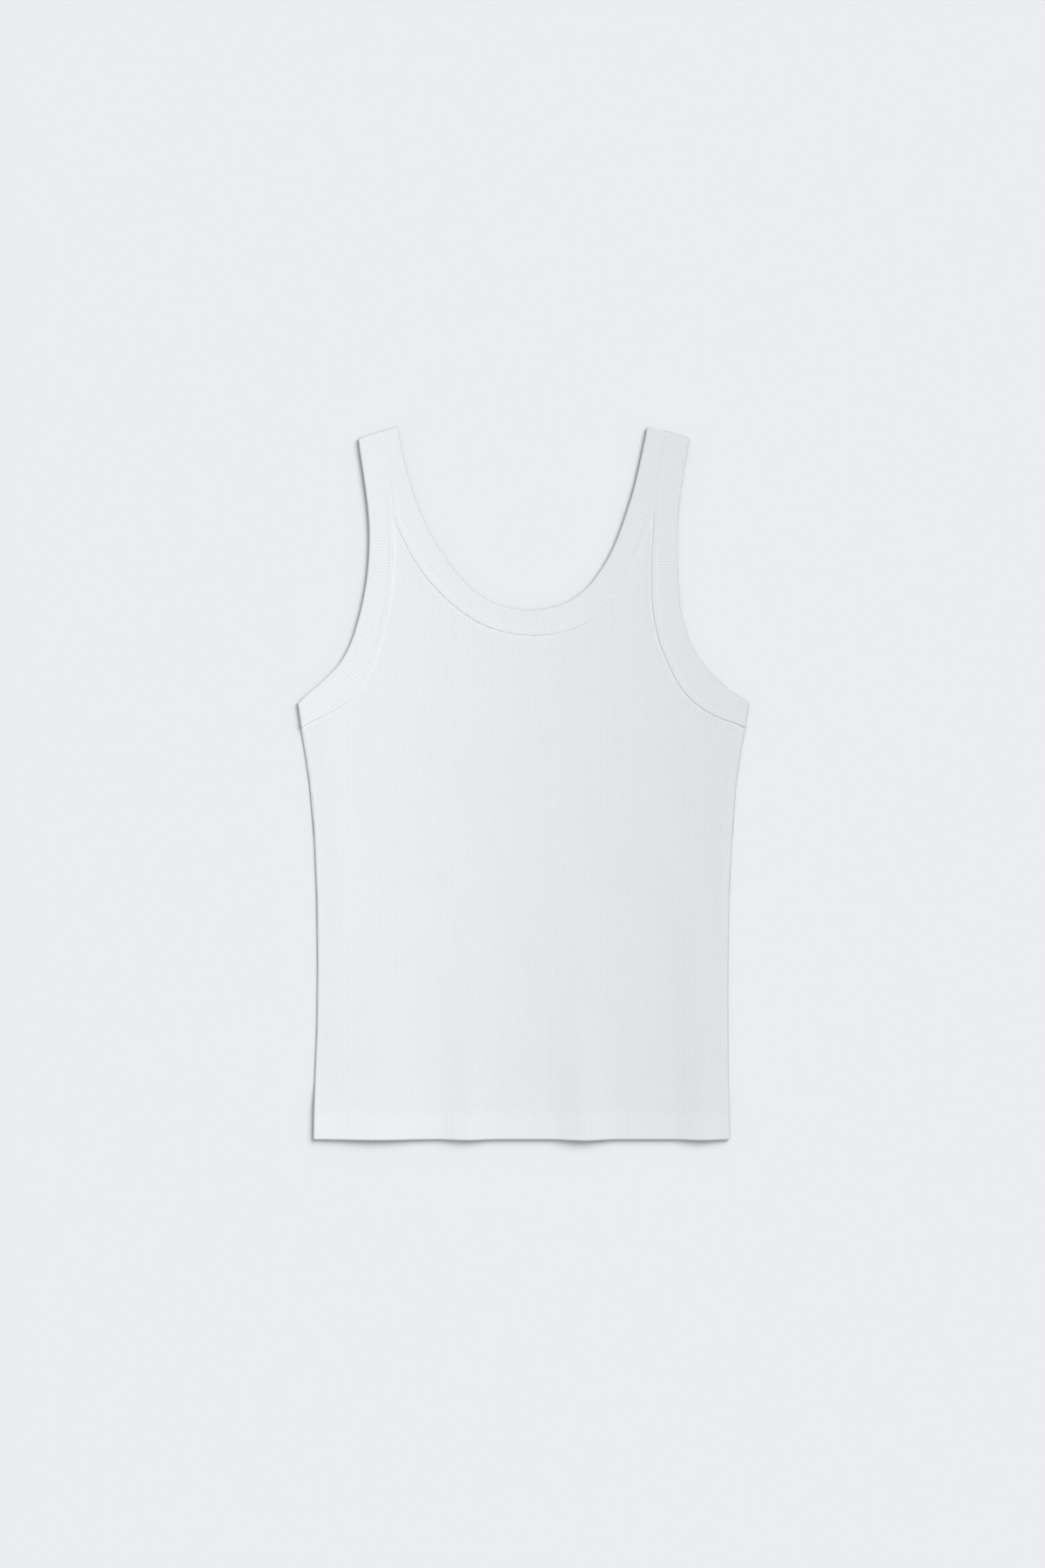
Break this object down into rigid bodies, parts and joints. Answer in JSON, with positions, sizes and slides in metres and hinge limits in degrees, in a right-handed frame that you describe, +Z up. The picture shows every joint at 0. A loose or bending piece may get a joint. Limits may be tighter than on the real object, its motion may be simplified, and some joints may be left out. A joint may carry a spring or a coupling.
{
  "type": "tank top",
  "caption": "Women's ribbed tank top laid flat, back upward, with a deep scoop neck, narrow banded straps, banded armholes and a turned-up hem.",
  "frame": {"origin": "on the table, under the middle of the garment's outline", "axes": "+Y from the hem to the shoulders, +X to the right as seen from above, +Z up from the table"},
  "size_m": [0.3638, 0.5746, 0.0074],
  "materials": {
    "rib_knit": "matte off-white fine rib knit, ribs up the body",
    "band_knit": "matte off-white rib knit, folded double, ribs across the band"
  },
  "bodies": {
    "root": {"front_panel": "rib_knit", "back_panel": "rib_knit", "neck_band": "band_knit", "armhole_band_left": "band_knit", "armhole_band_right": "band_knit"}
  },
  "joints": []
}
